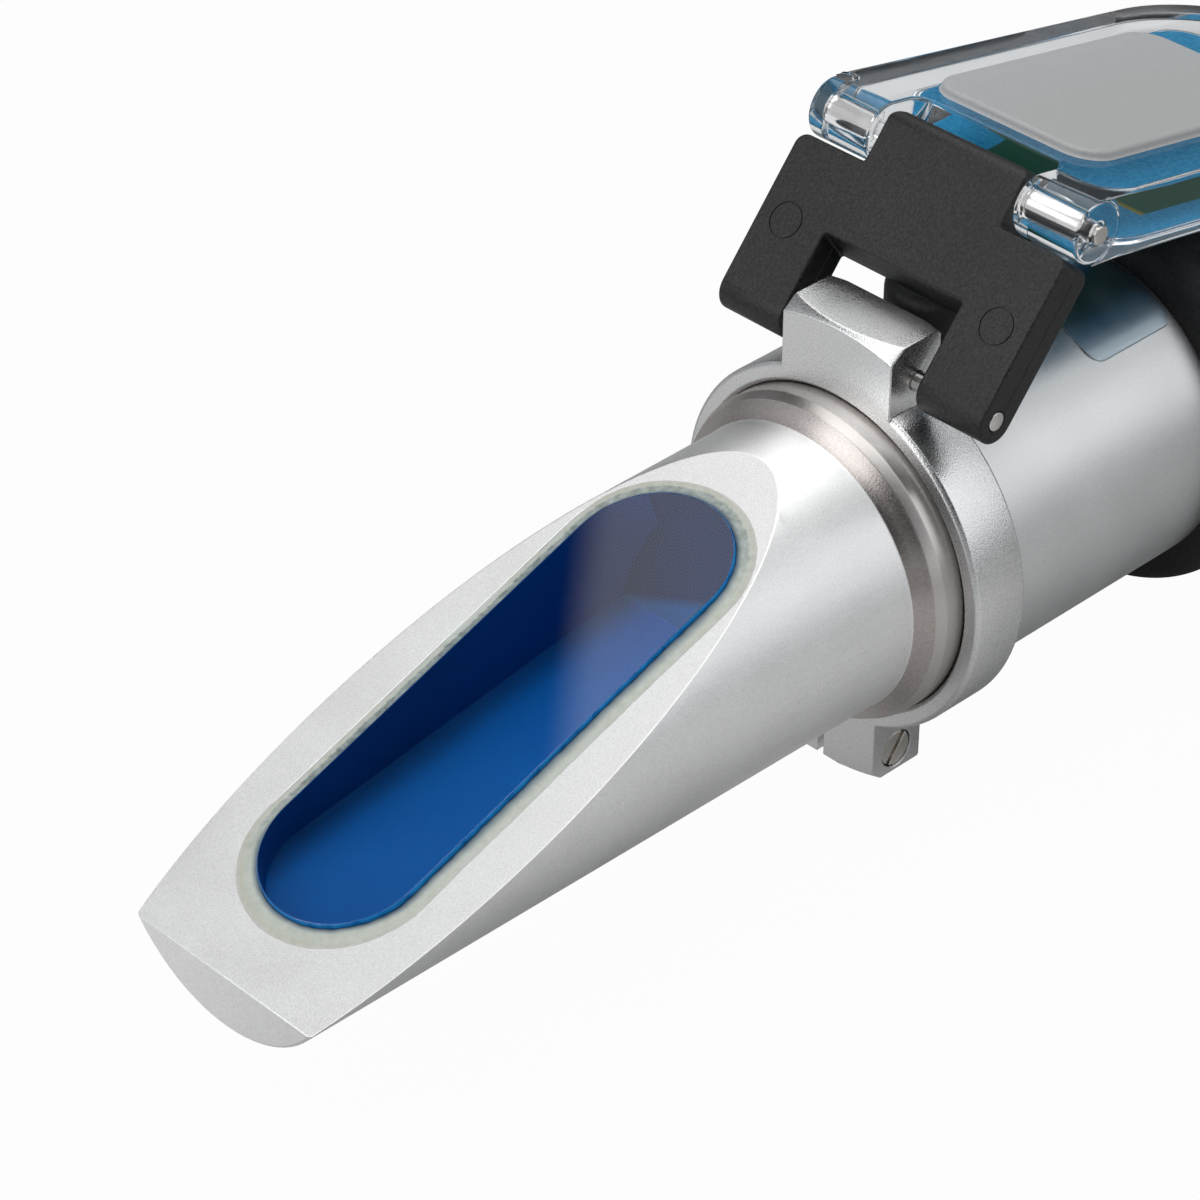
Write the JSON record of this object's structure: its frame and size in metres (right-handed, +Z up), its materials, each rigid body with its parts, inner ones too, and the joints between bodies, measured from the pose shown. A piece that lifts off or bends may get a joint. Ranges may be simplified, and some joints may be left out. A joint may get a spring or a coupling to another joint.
{
  "type": "handheld refractometer",
  "caption": "Handheld refractometer: sloping sample window, linked hinge and clear daylight cover, metal barrel with rubber grip, focusing eyepiece with eyecup.",
  "frame": {"origin": "centre of the bounding box at its base, on the surface that the clamp ears and the eyecup rim lie on", "axes": "+X along the optical axis towards the eyepiece, +Z up through the hinge lug, Y across"},
  "size_m": [0.17, 0.0384, 0.0493],
  "materials": {
    "satin_aluminium": "bead-blasted satin",
    "turned_aluminium": "fine turned and lightly blasted",
    "optical_glass": "polished",
    "blue_plastic": "smooth blue light filter",
    "clear_adhesive": "cured milky adhesive",
    "steel": "bright drawn",
    "black_plastic": "fine spark-eroded texture",
    "clear_acrylic": "moulded, clear with a frosted pad",
    "label_film": "plain printed film",
    "clear_film": "clear self-adhesive film",
    "brass": "turned",
    "black_rubber": "matt moulded",
    "black_anodised": "matt black anodised",
    "bimetal": "rolled strip"
  },
  "bodies": {
    "main_body": {"prism_head": "satin_aluminium", "prism_glass": "optical_glass", "blue_filter": "blue_plastic", "prism_seal": "clear_adhesive", "clamp_ring": "turned_aluminium", "clamp_screw": "steel", "body_tube": "satin_aluminium", "tube_film": "clear_film", "screw_bush": "brass", "calibration_cap": "black_rubber", "strip_mount": "turned_aluminium", "mount_screws": "steel", "reticle_cell": "black_anodised", "reticle_disc": "optical_glass", "reticle_retainer": "black_anodised", "grip_sleeve": "black_rubber", "eyepiece_barrel": "black_anodised"},
    "link": {"hinge_link": "black_plastic", "link_pin": "steel"},
    "cover": {"cover_plate": "clear_acrylic", "cover_pin": "steel", "cover_label": "label_film"},
    "calibration": {"calibration_screw": "brass"},
    "lens_carrier": {"bimetal_strip": "bimetal", "cell_screws": "steel", "objective_cell": "black_anodised", "objective_lens": "optical_glass", "objective_retainer": "black_anodised"},
    "eyepiece_slide": {"eyepiece_cell": "black_anodised", "field_lens": "optical_glass", "lens_spacer": "black_anodised", "eye_lens": "optical_glass", "eye_lens_retainer": "black_anodised"},
    "focus": {"focus_ring": "black_anodised", "eyecup": "black_rubber"}
  },
  "joints": [
    {"name": "link_pivot", "type": "hinge", "parent": "main_body", "child": "link", "pos_m": [-0.02235, 0, 0.03525], "axis": [0, 1, 0], "range_deg": [-136.5, 0]},
    {"name": "cover_pivot", "type": "hinge", "parent": "link", "child": "cover", "pos_m": [-0.01257, 0, 0.04682], "axis": [0, 1, 0], "range_deg": [-74, 0]},
    {"name": "calibration_turn", "type": "hinge", "parent": "main_body", "child": "calibration", "pos_m": [-0.01385, 0, 0.0322], "axis": [0, 0, 1], "range_deg": [-360, 0]},
    {"name": "strip_flex", "type": "hinge", "parent": "main_body", "child": "lens_carrier", "pos_m": [0.01225, 0, 0.0292], "axis": [0, 1, 0], "range_deg": [-1, 0]},
    {"name": "focus_slide", "type": "slide", "parent": "main_body", "child": "eyepiece_slide", "axis": [1, 0, 0], "range_m": [-0.00151, 0.00151]},
    {"name": "focus_turn", "type": "hinge", "parent": "eyepiece_slide", "child": "focus", "pos_m": [0.066, 0, 0.0192], "axis": [1, 0, 0], "range_deg": [-180, 180]}
  ],
  "couplings": [
    {"joint": "strip_flex", "follows": "calibration_turn", "ratio": 0.002744},
    {"joint": "focus_slide", "follows": "focus_turn", "m_per_rad": 0.00047746}
  ]
}
